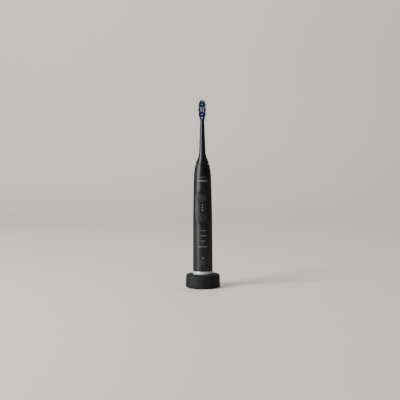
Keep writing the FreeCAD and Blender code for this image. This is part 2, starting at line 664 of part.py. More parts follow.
def battery():
    """Cylindrical cell with its button end, welded tabs and a foam strip towards the board."""
    low, high = cell.cell_low, cell.cell_low + cell.cell_length
    body = piece("battery_cell")
    pad(body, [(0, cell.cell_y, cell.cell_r)], "XY_Plane", low, cell.cell_length)
    pad(body, [(0, cell.cell_y, 2.6)], "XY_Plane", high, 0.7)
    soften(body, 0.6, lambda edge: abs(edge.BoundBox.XLength - 2 * cell.cell_r.value) < 0.01)
    tabs = piece("battery_tabs")
    front = cell.cell_y - cell.cell_r - 1.0
    for base, along in ((low - 0.25, 0.2), (high + 0.75, 0.2)):
        pad(tabs, [box_outline(-1.5, front, 1.5, cell.cell_y + 2.0)], "XY_Plane", base, along)
    pad(tabs, [box_outline(-1.5, front, 1.5, front + 0.2)], "XY_Plane", low - 0.25, 6.0)
    pad(tabs, [box_outline(-1.5, front, 1.5, front + 0.2)], "XY_Plane", high - 5.0, 5.95)
    foam = piece("battery_foam")
    pad(foam, [box_outline(-3.4, cell.board_thick - cell.board_front_y + 0.1, 3.4, front + 0.9)],
        "XY_Plane", low + 10, 26.0)


MOTOR_LOW = 89.0
GAP_LOW = 106.5  # where the stator's poles end and the magnets begin
BRIDGE_LOW = 144.0
BRIDGE_HIGH = 147.0


def motor():
    """Stator with its coil, the magnets on the shaft above it, the spring, and the frame that carries them."""
    frame = piece("motor_frame")
    turn(frame, ring(MOTOR_LOW - 1.6, 161.0, 7.9, 9.0))
    turn(frame, disc(MOTOR_LOW - 1.6, MOTOR_LOW - 0.1, 9.0))
    turn(frame, ring(BRIDGE_LOW, BRIDGE_HIGH, 4.05, 9.0))
    turn(frame, ring(157.5, 161.0, 4.05, 9.0))
    pocket(frame, [box_outline(-WIDE, -WIDE, WIDE, -4.2)], "XY_Plane", 137.0, 60.0)
    pocket(frame, [box_outline(-5.0, z, 5.0, z + 10.0) for z in (91.0, 116.0, 130.0)], "XZ_Plane", 0, FAR)
    pocket(frame, [box_outline(-5.0, 149.0, 5.0, 155.5)], "XZ_Plane", 30, FAR)
    stator = piece("stator_core")
    pad(stator, [[(-7.0, MOTOR_LOW), (7.0, MOTOR_LOW), (7.0, GAP_LOW), (4.4, GAP_LOW), (4.4, MOTOR_LOW + 4.0),
                  (1.5, MOTOR_LOW + 4.0), (1.5, GAP_LOW), (-1.5, GAP_LOW), (-1.5, MOTOR_LOW + 4.0),
                  (-4.4, MOTOR_LOW + 4.0), (-4.4, GAP_LOW), (-7.0, GAP_LOW)]], "XZ_Plane", -3.4, 7.0)
    winding = piece("stator_coil")
    pad(winding, [box_outline(-4.3, -4.9, 4.3, 4.9), box_outline(-1.6, -3.7, 1.6, 3.5)],
        "XY_Plane", MOTOR_LOW + 4.6, 11.0)
    magnets = piece("rotor_magnets")
    pad(magnets, [box_outline(-5.6, -3.2, -0.4, 3.2), box_outline(0.4, -3.2, 5.6, 3.2)],
        "XY_Plane", GAP_LOW + 0.7, 2.6)
    yoke = piece("rotor_yoke")
    yoke_low = GAP_LOW + 0.7 + 2.6
    pad(yoke, [box_outline(-5.6, -3.4, 5.6, 3.4)], "XY_Plane", yoke_low, 1.6)
    pad(yoke, [(0, 0, 3.6)], "XY_Plane", yoke_low + 1.6, 6.0)
    pocket(yoke, [(0, 0, cell.shaft_r)], "XY_Plane", yoke_low + 20.0, 20.0 - (cell.shaft_low.value - yoke_low))


def shaft_and_bearings():
    """Steel shaft with a flat for the brush head, its two bushes, collar and seal."""
    shaft = piece("drive_shaft")
    turn(shaft, [(0, cell.shaft_low), (cell.shaft_r, cell.shaft_low), (cell.shaft_r, cell.shaft_top - 0.8),
                 (cell.shaft_r - 0.8, cell.shaft_top), (0, cell.shaft_top)])
    pocket(shaft, [box_outline(-WIDE, -WIDE, WIDE, -1.45)], "XY_Plane", cell.shaft_top + 1, 15.0)
    inner = cell.shaft_r + cell.run_gap
    turned("rear_bearing", ring(BRIDGE_LOW, BRIDGE_HIGH, inner, 4.0))
    turned("front_bearing", ring(157.5, 161.0, inner, 4.0))
    turned("spring_collar", ring(141.0, 143.5, cell.shaft_r, 4.6))


SPRING_LOW, SPRING_TURNS, SPRING_PITCH, SPRING_R, SPRING_WIRE = 119.5, 8, 2.5, 4.6, 0.45


def torsion_spring():
    """Coil spring around the shaft, which brings it back to its middle: a helix swept by its square wire."""
    helix = Part.makeHelix(SPRING_PITCH, SPRING_TURNS * SPRING_PITCH, SPRING_R)
    corners = [FreeCAD.Vector(SPRING_R + SPRING_WIRE * x, 0, SPRING_WIRE * z)
               for x, z in ((-1, -1), (1, -1), (1, 1), (-1, 1), (-1, -1))]
    spring = doc.addObject("Part::Feature", "torsion_spring")
    spring.Shape = Part.Wire(helix).makePipeShell([Part.makePolygon(corners)], True, True)
    spring.Placement.Base = FreeCAD.Vector(0, 0, SPRING_LOW)
    pieces.append(spring)


def nose():
    """Nose cap that closes the shell's top, with a rim that reaches into the brush head and the shaft's seal."""
    spigot = cell.shell_top_r - cell.wall - 0.1
    turned("nose_cap", [
        (2.6, 162.5), (spigot, 162.5), (spigot, cell.shell_top + cell.gap),
        (cell.shell_top_r - 0.05, cell.shell_top + cell.gap), (cell.nose_r, cell.nose_top - 0.5),
        (cell.nose_r - 0.6, cell.nose_top, "arc"), (7.6, cell.nose_top), (7.6, cell.nose_top + 1.1),
        (5.4, cell.nose_top + 1.1), (5.2, cell.nose_top), (4.5, cell.nose_top - 0.5),
        (4.5, 169.6), (2.6, 169.6)])
    inner = cell.shaft_r + cell.run_gap
    turned("shaft_seal", [(inner, 169.6), (4.45, 169.6), (4.45, cell.nose_top - 0.6), (3.0, cell.nose_top + 0.3),
                          (2.6, cell.nose_top + 1.6), (inner, cell.nose_top + 1.6)])
    turned("nose_seal", [(spigot - 0.7, 161.4), (spigot + 0.2, 161.4), (spigot + 0.2, 162.45),
                         (spigot - 0.7, 162.45)])


# ---------------------------------------------------------------- brush head


TIP_R = 4.2  # radius of the bristle plate's blunt tip


def plate_outline():
    """Front view of the bristle plate: widens out of the neck in an S, then closes in a blunt round tip."""
    low = cell.neck_high - 3
    widest, side_top = cell.plate_z - 3.2, cell.plate_z + 1.5
    neck, half = cell.neck_high_r - 0.1, cell.plate_half_width
    middle_r, middle_z = (neck + half) * 0.5, (low + widest) * 0.5
    rise = (cell.head_top - TIP_R - side_top).value
    side_r = (half.value**2 + rise**2 - TIP_R**2) / (2 * (half.value - TIP_R))
    lean = math.atan2(rise, side_r - half.value)  # where the side's large arc meets the tip's small one
    tip_x, tip_z = TIP_R * math.cos(lean), cell.head_top - TIP_R * (1 - math.sin(lean))
    right = [(neck, low - 1), (neck, low), (middle_r, middle_z, "arc"), (half, widest, "arc"), (half, side_top),
             (tip_x, tip_z, "arc"), (0, cell.head_top, "arc")]
    left = [(-tip_x, tip_z, "arc"), (-half, side_top, "arc"), (-half, widest),
            (-middle_r, middle_z, "arc"), (-neck, low, "arc"), (-neck, low - 1)]
    return right + left


# Tufts in one half of the bristle field, as {rows from the middle: distances from the middle line}
WHITE_TUFTS = {0: [1.3], 1: [1.3, 4.4], 2: [4.3], 3: [0], 5: [0]}
BLUE_TUFTS = {0: [2.85, 4.4], 1: [2.85], 2: [1.05, 2.65], 3: [2.05, 3.8], 4: [1.0, 2.9], 5: [1.9]}


def tuft_circles(rows, radius):
    """The circles of a set of tufts, mirrored left to right and top to bottom."""
    found = []
    for row, distances in rows.items():
        for x in distances:
            for sx in ((1, -1) if x else (1,)):
                for sz in ((1, -1) if row else (1,)):
                    found.append((as_size(sx * x), cell.plate_z + cell.tuft_pitch * (sz * row), radius))
    return found


def brush_head():
    """Moulded flare, neck and bristle plate in one, with the shaft's bore and the tuft holes."""
    body = piece("brush_neck")
    back = cell.plate_back
    pad(body, [plate_outline()], "XZ_Plane", -back, back + cell.plate_front)
    soften(body, 1.2, lambda edge: abs(edge.BoundBox.YMin - back.value) < 0.01 and edge.BoundBox.YLength < 0.01)
    flare_r = cell.shaft_r + 4.6
    turn(body, [
        (cell.skirt_r - 0.9, cell.skirt_low), (cell.skirt_r, cell.skirt_low), (8.45, 177.8), (flare_r, 182.4),
        (cell.neck_low_r, cell.neck_low, "arc"), (cell.neck_high_r, cell.neck_high), (1.7, 242.0),
        (0, 242.0), (0, 194.2), (cell.shaft_r + cell.run_gap, 194.2), (cell.shaft_r + cell.run_gap, 189.1),
        (3.2, 189.1), (3.2, 181.6), (5.2, 180.3), (8.0, 176.6), (8.0, 175.6)])
    tufts = tuft_circles(WHITE_TUFTS, cell.tuft_r) + tuft_circles(BLUE_TUFTS, cell.tuft_r)
    pocket(body, tufts, "XZ_Plane", cell.plate_front - cell.tuft_depth, FAR, backwards=True)
    for label, rows in (("tufts_white", WHITE_TUFTS), ("tufts_blue", BLUE_TUFTS)):
        body = piece(label)
        pad(body, tuft_circles(rows, cell.tuft_r - 0.02), "XZ_Plane", cell.plate_front - cell.tuft_depth,
            cell.tuft_depth + cell.tuft_out)


def head_inserts():
    """What is pressed into the brush head: the clip that grips the shaft, and the tag ring read by the handle."""
    clip = turned("shaft_clip", ring(182.0, 189.0, cell.shaft_r + cell.run_gap, 3.15))
    pocket(clip, [box_outline(-0.5, 181.0, 0.5, 187.5)], "XZ_Plane", 0, FAR)
    turned("tag_ring", ring(175.65, 176.5, 6.6, 7.95))


def build():
    charger_housing()
    charger_base()
    charger_small_parts()
    charger_coil()
    handle_housing()
    light_pipes("mode_light_pipes", MODE_WINDOWS)
    light_pipes("status_light_pipes", STATUS_WINDOWS)
    foot_of_handle()
    thumb_pad()
    button("power_button", cell.pad_z + cell.pad_end, cell.power_r)
    button("mode_button", cell.pad_z - cell.pad_end, cell.mode_r)
    switches()
    boards()
    carrier()
    battery()
    motor()
    shaft_and_bearings()
    torsion_spring()
    nose()
    brush_head()
    head_inserts()
    doc.recompute()


def write():
    """Stops on any failed object, then writes one STEP file for each piece."""
    failed = [thing.Name for thing in doc.Objects if {"Invalid", "Error"} & set(thing.State)]
    bad = [p.Label for p in pieces if p.Shape.isNull() or not p.Shape.isValid() or not p.Shape.Solids]
    if failed or bad:
        raise SystemExit(f"failed objects {failed}, bad shapes {bad}")
    os.makedirs("parts", exist_ok=True)
    for old in os.listdir("parts"):
        os.remove(os.path.join("parts", old))
    for p in pieces:
        p.Shape.exportStep(os.path.join("parts", f"{p.Label}.step"))
        print(f"{p.Label:20} {len(p.Shape.Solids):3} solids {p.Shape.Volume:10.1f} mm3")


build()
write()
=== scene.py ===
"""Rechargeable sonic toothbrush on its round charger: finishes, bristles and printed marks.

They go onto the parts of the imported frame, and the sections follow the object from the charger up to the brush
head. Lengths are in metres, +Z is up, and the front, with the buttons and the bristles, faces -Y.
"""

import math
import random

import bmesh
import bpy
from mathutils import Matrix, Vector


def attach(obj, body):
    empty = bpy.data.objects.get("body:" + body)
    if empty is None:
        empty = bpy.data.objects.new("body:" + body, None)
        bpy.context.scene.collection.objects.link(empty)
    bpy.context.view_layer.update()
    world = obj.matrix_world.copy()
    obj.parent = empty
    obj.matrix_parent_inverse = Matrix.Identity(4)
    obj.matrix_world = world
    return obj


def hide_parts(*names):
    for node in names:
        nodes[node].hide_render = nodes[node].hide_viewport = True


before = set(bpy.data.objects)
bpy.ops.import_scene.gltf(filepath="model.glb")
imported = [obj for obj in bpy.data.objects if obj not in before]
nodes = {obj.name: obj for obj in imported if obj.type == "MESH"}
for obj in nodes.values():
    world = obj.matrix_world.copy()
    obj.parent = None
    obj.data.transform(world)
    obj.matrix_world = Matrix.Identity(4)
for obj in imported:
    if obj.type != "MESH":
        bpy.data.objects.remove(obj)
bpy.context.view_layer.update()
MM = 0.001


# ------------------------------------------------------------------ camera
# A long lens 1.3 m in front, a little below the brush head's height, so that it looks slightly down on the
# charger and level at the head. It is turned down by a few degrees and leans by a hair.

camera_data = bpy.data.cameras.new("camera")
camera_data.sensor_width = 36.0
camera_data.lens = 83.1
camera_data.clip_start, camera_data.clip_end = 0.05, 50.0
camera = bpy.data.objects.new("camera", camera_data)
camera_place = (-3.6 * MM, -1.3, 0.205)
look_down, lean = math.radians(3.58), math.radians(-0.28)
camera.matrix_world = (Matrix.Translation(camera_place)
                       @ Matrix.Rotation(math.radians(90) - look_down, 4, "X")
                       @ Matrix.Rotation(lean, 4, "Z"))
bpy.context.scene.collection.objects.link(camera)
bpy.context.scene.camera = camera


# ------------------------------------------------------------------ floor and light
# A plain pale sweep: the floor runs back and curves up into a wall. One broad soft window stands to the left
# of the camera, a soft ceiling lights the floor, another lamp washes the wall, and the room stays dim.

floor_half, bend_start, bend_r, wall_top = 6.0, 1.2, 0.5, 3.5
bend_steps, bend_step = 12, math.radians(7.5)
sweep_mesh = bmesh.new()
spine = [(-floor_half, 0), (bend_start, 0)]
spine += [(bend_start + bend_r * math.sin(n * bend_step), bend_r - bend_r * math.cos(n * bend_step))
          for n in range(1, bend_steps + 1)]
spine.append((bend_start + bend_r, wall_top))
spine = [sweep_mesh.verts.new((-floor_half, y, z)) for y, z in spine]
edges = [sweep_mesh.edges.new(pair) for pair in zip(spine, spine[1:])]
pulled = bmesh.ops.extrude_edge_only(sweep_mesh, edges=edges)["geom"]
bmesh.ops.translate(sweep_mesh, verts=[v for v in pulled if isinstance(v, bmesh.types.BMVert)],
                    vec=(2 * floor_half, 0, 0))
bmesh.ops.recalc_face_normals(sweep_mesh, faces=sweep_mesh.faces)
floor_data = bpy.data.meshes.new("floor")
sweep_mesh.to_mesh(floor_data)
sweep_mesh.free()
floor_data.shade_smooth()
floor = bpy.data.objects.new("floor", floor_data)
bpy.context.scene.collection.objects.link(floor)

floor_paint = bpy.data.materials.new("floor_paint")
floor_paint.use_nodes = True
paint = floor_paint.node_tree.nodes["Principled BSDF"]
paint.inputs["Base Color"].default_value = (0.74, 0.70, 0.64, 1)
paint.inputs["Roughness"].default_value = 0.7
floor_data.materials.append(floor_paint)

world = bpy.data.worlds.new("room")
world.use_nodes = True
world.node_tree.nodes["Background"].inputs["Color"].default_value = (0.94, 0.97, 1.0, 1)
world.node_tree.nodes["Background"].inputs["Strength"].default_value = 0.07
bpy.context.scene.world = world


def window_light(name, place, target, width, height, watts, colour):
    """A soft rectangular light at a place, turned towards a target."""
    data = bpy.data.lights.new(name, "AREA")
    data.shape, data.size, data.size_y = "RECTANGLE", width, height
    data.energy, data.color = watts, colour
    light = bpy.data.objects.new(name, data)
    aim = (Vector(target) - Vector(place)).to_track_quat("-Z", "Y")
    light.matrix_world = Matrix.Translation(place) @ aim.to_matrix().to_4x4()
    bpy.context.scene.collection.objects.link(light)


window_light("window_left", (-1.4, -0.85, 0.95), (0, 0, 0.95), 1.0, 2.0, 78.0, (0.97, 0.985, 1.0))
window_light("ceiling", (0.1, 0.1, 2.4), (0, 0, 0), 1.8, 1.6, 14.0, (1.0, 0.98, 0.95))
window_light("wall_wash", (0.0, 0.3, 2.4), (0, 1.7, 0.3), 2.5, 0.6, 19.0, (1.0, 0.96, 0.91))


# ------------------------------------------------------------------ charger shell and bottom cover
# Moulded in dark plastic with a fine spark-eroded grain that takes the shine off. The two halves meet at the
# bottom edge, and three screws hold them from below.


def new_finish(name, colour, rough, metal=0.0):
    """A material with its node tree and its shader, with a plain colour to begin with."""
    material = bpy.data.materials.new(name)
    material.use_nodes = True
    shader = material.node_tree.nodes["Principled BSDF"]
    shader.inputs["Base Color"].default_value = (*colour, 1)
    shader.inputs["Roughness"].default_value = rough
    shader.inputs["Metallic"].default_value = metal
    return material, material.node_tree, shader


def noise(tree, size, detail=2.0, stretch=(1, 1, 1)):
    """A noise pattern with blotches of this size in metres, as a value from 0 to 1."""
    place = tree.nodes.new("ShaderNodeTexCoord")
    mapping = tree.nodes.new("ShaderNodeMapping")
    mapping.inputs["Scale"].default_value = stretch
    pattern = tree.nodes.new("ShaderNodeTexNoise")
    pattern.inputs["Scale"].default_value = 1.0 / size
    pattern.inputs["Detail"].default_value = detail
    tree.links.new(place.outputs["Object"], mapping.inputs["Vector"])
    tree.links.new(mapping.outputs["Vector"], pattern.inputs["Vector"])
    return pattern.outputs["Fac"]


def spread(tree, value, low, high, start=0.3, end=0.7):
    """Maps a pattern's value onto the range low to high."""
    node = tree.nodes.new("ShaderNodeMapRange")
    for name, number in (("From Min", start), ("From Max", end), ("To Min", low), ("To Max", high)):
        node.inputs[name].default_value = number
    tree.links.new(value, node.inputs["Value"])
    return node.outputs["Result"]


def tint(tree, value, first, second, start=0.35, end=0.65):
    """Blends two colours by a pattern's value."""
    node = tree.nodes.new("ShaderNodeValToRGB")
    node.color_ramp.elements[0].position, node.color_ramp.elements[1].position = start, end
    node.color_ramp.elements[0].color, node.color_ramp.elements[1].color = (*first, 1), (*second, 1)
    tree.links.new(value, node.inputs["Fac"])
    return node.outputs["Color"]


def relief(tree, shader, value, depth):
    """Raises the surface by a pattern: depth in metres."""
    node = tree.nodes.new("ShaderNodeBump")
    node.inputs["Distance"].default_value = depth
    node.inputs["Strength"].default_value = 1.0
    tree.links.new(value, node.inputs["Height"])
    tree.links.new(node.outputs["Normal"], shader.inputs["Normal"])


def duller_edge(tree, shader, specular, edge, fade):
    """Makes a finish duller at a glancing angle, as fine-grained plastic is: edge is added to its roughness,
    and its shine fades to almost none from fade on, which is 0 for a square look and 1 along the surface."""
    faded, fade_length = 0.02, 0.4
    glance = tree.nodes.new("ShaderNodeLayerWeight")
    glance.inputs["Blend"].default_value = 0.5
    total = tree.nodes.new("ShaderNodeMath")
    tree.links.new(shader.inputs["Roughness"].links[0].from_socket, total.inputs[0])
    tree.links.new(spread(tree, glance.outputs["Facing"], 0.0, edge, 0.3, 0.7), total.inputs[1])
    tree.links.new(total.outputs["Value"], shader.inputs["Roughness"])
    tree.links.new(spread(tree, glance.outputs["Facing"], specular, faded, fade, fade + fade_length),
                   shader.inputs["Specular IOR Level"])


def moulded(name, colour, rough, grain, depth, vary=0.25, specular=0.35, edge=0.3, fade=0.35):
    """Moulded plastic or rubber, with its grain and the grain's depth in metres, and a cloudy change in its
    colour and shine."""
    material, tree, shader = new_finish(name, colour, rough)
    shader.inputs["Specular IOR Level"].default_value = specular
    clouds = noise(tree, 12 * MM, 4)
    darker, lighter = [c * (1 - vary) for c in colour], [c * (1 + vary) for c in colour]
    tree.links.new(tint(tree, clouds, darker, lighter), shader.inputs["Base Color"])
    handled, change = noise(tree, 4 * MM, 3), 0.035
    tree.links.new(spread(tree, handled, rough - change, rough + change), shader.inputs["Roughness"])
    duller_edge(tree, shader, specular, edge, fade)
    relief(tree, shader, noise(tree, grain, 2), depth)
    return material, tree, shader


def dress(material, *names):
    """Gives CAD nodes their finish."""
    for name in names:
        for holder in nodes[name].material_slots:
            holder.material = material


charger_grain = moulded("charger_grain", (0.0090, 0.0095, 0.0106), 0.6, grain=0.22 * MM, depth=0.016 * MM,
                        vary=0.2, specular=0.16, edge=0.1, fade=0.8)[0]
dress(charger_grain, "charger_housing", "charger_base")


# ------------------------------------------------------------------ foot ring, screws and cord gland
# A soft rubber ring keeps the charger from sliding, zinc-plated screws sit sunk in the bottom cover, and a
# rubber gland lines the hole where a lead goes in.

soft_rubber = moulded("soft_rubber", (0.026, 0.026, 0.027), 0.68, grain=0.3 * MM, depth=0.02 * MM,
                      vary=0.3)[0]
dress(soft_rubber, "foot_ring", "cord_gland")


def metal_finish(name, colour, rough, stretch=(1, 1, 1), scratch=0.08 * MM, depth=0.003 * MM):
    """Bright metal with fine scratches, drawn out by stretch along an axis, and duller patches."""
    material, tree, shader = new_finish(name, colour, rough, 1.0)
    scratches = noise(tree, scratch, 3, stretch)
    tree.links.new(spread(tree, scratches, rough * 0.75, rough * 1.35), shader.inputs["Roughness"])
    patches, duller = noise(tree, 6 * MM, 3), [c * 0.86 for c in colour]
    tree.links.new(tint(tree, patches, duller, colour), shader.inputs["Base Color"])
    relief(tree, shader, scratches, depth)
    return material, tree, shader


zinc = metal_finish("zinc_plate", (0.62, 0.62, 0.60), 0.32)[0]
dress(zinc, "charger_screws", "board_screws")


# ------------------------------------------------------------------ boards, chips and capacitors
# Circuit boards in green solder mask with copper tracks showing through it, black epoxy chips, and two
# capacitors in shrink sleeve. All of them are hidden inside the charger and the handle.


def board_finish(name):
    """Green solder mask over tracks, which are brighter and stand up by a few hundredths of a millimetre."""
    material, tree, shader = new_finish(name, (0.015, 0.11, 0.045), 0.35)
    place = tree.nodes.new("ShaderNodeTexCoord")
    tracks = tree.nodes.new("ShaderNodeTexBrick")
    tracks.inputs["Scale"].default_value = 260.0
    tracks.inputs["Mortar Size"].default_value = 0.06
    tracks.inputs["Color1"].default_value = (0.015, 0.11, 0.045, 1)
    tracks.inputs["Color2"].default_value = (0.012, 0.09, 0.04, 1)
    tracks.inputs["Mortar"].default_value = (0.05, 0.23, 0.08, 1)
    tree.links.new(place.outputs["Object"], tracks.inputs["Vector"])
    tree.links.new(tracks.outputs["Color"], shader.inputs["Base Color"])
    relief(tree, shader, tracks.outputs["Fac"], 0.03 * MM)
    return material


dress(board_finish("solder_mask"), "charger_board", "main_board", "ring_light_board", "tag_ring")
epoxy = moulded("chip_epoxy", (0.018, 0.018, 0.019), 0.5, grain=0.1 * MM, depth=0.008 * MM)[0]
dress(epoxy, "charger_chips", "board_chips", "switch_bodies")
sleeve = moulded("capacitor_sleeve", (0.03, 0.035, 0.06), 0.28, grain=0.8 * MM, depth=0.01 * MM)[0]
dress(sleeve, "charger_capacitors")


# ------------------------------------------------------------------ coils, bobbins and ferrite rod
# Enamelled copper wire, wound in even layers on nylon bobbins, round a dark ferrite rod that stands in the
# charger's post. The handle's own coil sits round that post.


wave_at_one = 0.314  # metres from one band to the next where a wave pattern's scale is 1


def winding_finish(name, pitch):
    """Copper wire wound round Z: rounded bands of one wire's width, darker in the grooves between turns as
    painted shade, with a lacquer shine.
    """
    material, tree, shader = new_finish(name, (0.70, 0.30, 0.13), 0.3, 0.85)
    place = tree.nodes.new("ShaderNodeTexCoord")
    bands = tree.nodes.new("ShaderNodeTexWave")
    bands.bands_direction = "Z"
    bands.inputs["Scale"].default_value = wave_at_one / pitch
    bands.inputs["Distortion"].default_value = 0.3
    tree.links.new(place.outputs["Object"], bands.inputs["Vector"])
    # Painted shade: the colour darkens in the grooves between the turns of wire.
    tree.links.new(tint(tree, bands.outputs["Fac"], (0.32, 0.11, 0.04), (0.78, 0.36, 0.16), 0.05, 0.6),
                   shader.inputs["Base Color"])
    relief(tree, shader, bands.outputs["Fac"], pitch * 0.35)
    shader.inputs["Coat Weight"].default_value = 0.5
    shader.inputs["Coat Roughness"].default_value = 0.15
    return material


dress(winding_finish("wound_copper", 0.4 * MM), "charger_coil", "receive_coil", "stator_coil")
pale_nylon = moulded("pale_nylon", (0.62, 0.61, 0.57), 0.48, grain=0.4 * MM, depth=0.01 * MM, vary=0.06)[0]
dress(pale_nylon, "charger_bobbin", "receive_bobbin", "power_plunger", "mode_plunger")
ferrite = moulded("ferrite", (0.045, 0.045, 0.05), 0.6, grain=0.12 * MM, depth=0.02 * MM, vary=0.4)[0]
dress(ferrite, "charger_core")


# ------------------------------------------------------------------ handle shell, end cap and nose cap
# One matt black tube with a velvety touch, closed below by the end cap and above by the nose cap. The finish
# is finer than the charger's, so the window draws a soft bright band down its left side.

handle_black = moulded("handle_black", (0.0040, 0.0045, 0.0054), 0.36, grain=0.09 * MM, depth=0.004 * MM,
                       vary=0.2, specular=0.33)[0]
dress(handle_black, "handle_housing", "end_cap", "nose_cap")


# ------------------------------------------------------------------ light ring
# A pale satin ring between the end cap and the shell. It is moulded in a pearly plastic that lets the four
# small lights behind it through.

pearl, _, pearl_shader = moulded("pearl_ring", (0.50, 0.51, 0.53), 0.34, grain=0.3 * MM, depth=0.004 * MM,
                                 vary=0.04)
pearl_shader.inputs["Metallic"].default_value = 0.35
pearl_shader.inputs["Coat Weight"].default_value = 0.3
pearl_shader.inputs["Coat Roughness"].default_value = 0.25
dress(pearl, "light_ring")
lamp = moulded("lamp_package", (0.85, 0.82, 0.66), 0.3, grain=0.2 * MM, depth=0.003 * MM, vary=0.05)[0]
dress(lamp, "ring_lights", "board_lights")


# ------------------------------------------------------------------ light pipes and intensity lights
# Bars of frosted clear plastic are let into the shell, flush with it, for the brushing modes, and smaller and
# darker windows show the battery's state. The mode bars and the three round lights in the thumb pad, a little
# brighter, are painted pale as painted glow.


def pipe_finish(name, colour):
    """Frosted clear plastic, where the light sinks in by about a millimetre."""
    material, _, shader = moulded(name, colour, 0.38, grain=0.2 * MM, depth=0.003 * MM, vary=0.08)
    shader.inputs["Subsurface Weight"].default_value = 0.2
    shader.inputs["Subsurface Radius"].default_value = (1 * MM, 1 * MM, 1 * MM)
    return material


# Painted glow: the mode bars get a pale grey that stands for their lights shining through.
dress(pipe_finish("frosted_pipe_painted_glow", (0.21, 0.21, 0.205)), "mode_light_pipes")
dress(pipe_finish("dim_pipe", (0.10, 0.105, 0.11)), "status_light_pipes")
# Painted glow: the intensity lights get a paler grey that stands for their lamps shining through.
painted_glow_dot = moulded("intensity_dot_painted_glow", (0.24, 0.245, 0.25), 0.35, grain=0.2 * MM, depth=0.003 * MM, vary=0.05)[0]
dress(painted_glow_dot, "intensity_lights")


# ------------------------------------------------------------------ thumb pad and buttons
# A soft pad let into the shell and flatter than it, with the round power and mode buttons moulded apart so
# that they can be pushed. The rubber is a shade lighter than the shell.

pad_rubber = moulded("pad_rubber", (0.0048, 0.0053, 0.0062), 0.38, grain=0.11 * MM, depth=0.005 * MM,
                     vary=0.2, specular=0.3)[0]
dress(pad_rubber, "button_pad")
button_rubber = moulded("button_rubber", (0.0060, 0.0065, 0.0075), 0.3, grain=0.11 * MM, depth=0.004 * MM,
                        vary=0.2, specular=0.5)[0]
dress(button_rubber, "power_button", "mode_button")


# ------------------------------------------------------------------ carrier, battery and seals
# A plain nylon tray carries a wrapped lithium cell with welded nickel tabs and a strip of foam. Rubber rings
# keep water out at both ends of the shell and round the shaft.

tray_nylon = moulded("tray_nylon", (0.55, 0.55, 0.52), 0.5, grain=0.3 * MM, depth=0.012 * MM, vary=0.06)[0]
dress(tray_nylon, "carrier", "motor_frame")
cell_wrap = moulded("cell_wrap", (0.045, 0.17, 0.32), 0.25, grain=1.5 * MM, depth=0.02 * MM, vary=0.1)[0]
dress(cell_wrap, "battery_cell")
dress(metal_finish("nickel_strip", (0.66, 0.62, 0.55), 0.28, (1, 1, 0.15))[0], "battery_tabs")
foam = moulded("grey_foam", (0.12, 0.12, 0.125), 0.9, grain=0.6 * MM, depth=0.15 * MM, vary=0.4,
               specular=0.1)[0]
dress(foam, "battery_foam")
seal_rubber = moulded("seal_rubber", (0.018, 0.018, 0.018), 0.42, grain=0.4 * MM, depth=0.008 * MM)[0]
dress(seal_rubber, "end_cap_seal", "shaft_seal", "nose_seal")


# ------------------------------------------------------------------ motor, spring, shaft and bushes
# A laminated core with its coil swings two magnets on the shaft, and a square-wire spring brings them back.
# The ground steel shaft runs in sintered bronze bushes and stands out of the nose cap.

laminations, sheets_tree, sheets_shader = metal_finish("laminations", (0.30, 0.30, 0.32), 0.45)
sheet_edges = sheets_tree.nodes.new("ShaderNodeTexWave")
sheet_edges.bands_direction = "Y"
sheet_edges.inputs["Scale"].default_value = 900.0  # sheets about 0.35 mm thick
sheet_place = sheets_tree.nodes.new("ShaderNodeTexCoord")
sheets_tree.links.new(sheet_place.outputs["Object"], sheet_edges.inputs["Vector"])
relief(sheets_tree, sheets_shader, sheet_edges.outputs["Fac"], 0.04 * MM)
dress(laminations, "stator_core")
dress(metal_finish("magnet_nickel", (0.55, 0.54, 0.52), 0.2)[0], "rotor_magnets")
dress(metal_finish("ground_steel", (0.58, 0.58, 0.60), 0.18, (1, 1, 8))[0], "drive_shaft", "rotor_yoke")
spring_steel = metal_finish("spring_steel", (0.42, 0.43, 0.45), 0.3, (1, 1, 3))[0]
dress(spring_steel, "torsion_spring", "spring_collar", "shaft_clip")
bronze = metal_finish("sintered_bronze", (0.42, 0.27, 0.13), 0.5, scratch=0.15 * MM, depth=0.01 * MM)[0]
dress(bronze, "rear_bearing", "front_bearing")


# ------------------------------------------------------------------ brush head
# Flare, neck and bristle plate are one moulding in a harder, glossier plastic than the handle, near black
# with a breath of violet. Its surface is polished, with only a faint waviness.

head_black = moulded("head_black", (0.0085, 0.0082, 0.0115), 0.25, grain=0.6 * MM, depth=0.004 * MM,
                     vary=0.2, specular=0.36, fade=0.15)[0]
dress(head_black, "brush_neck")


# ------------------------------------------------------------------ bristles
# Nylon filaments a quarter of a millimetre thick, folded over and stapled into each hole of the plate. Deep
# blue tufts stand round white ones, every filament has a rounded tip, and the outer tufts lean outwards.

plate_front, plate_middle, row_pitch = -2.2 * MM, 250.5 * MM, 2.16 * MM
white_rows = {0: [1.3], 1: [1.3, 4.4], 2: [4.3], 3: [0], 5: [0]}
blue_rows = {0: [2.85, 4.4], 1: [2.85], 2: [1.05, 2.65], 3: [2.05, 3.8], 4: [1.0, 2.9], 5: [1.9]}
rooted, tuft_reach, filament_radius, per_tuft = 2.0 * MM, 0.62 * MM, 0.12 * MM, 30
golden_turn = 2.39996  # radians from one filament to the next, which spreads them evenly over the hole
straight = 0.3  # share of a filament's length before it starts to bend
# Each further stretch of a filament: where it starts, where it ends, and the width that is left at its end.
stretches = ((straight, 0.65, 1.0), (0.65, 0.992, 1.0), (0.992, 1.0, 0.6))
lean_out, lean_along = 26.0, 6.0  # radians that a tuft leans for each metre from the plate's middle
stood_up = Matrix.Rotation(math.radians(90), 4, "X")


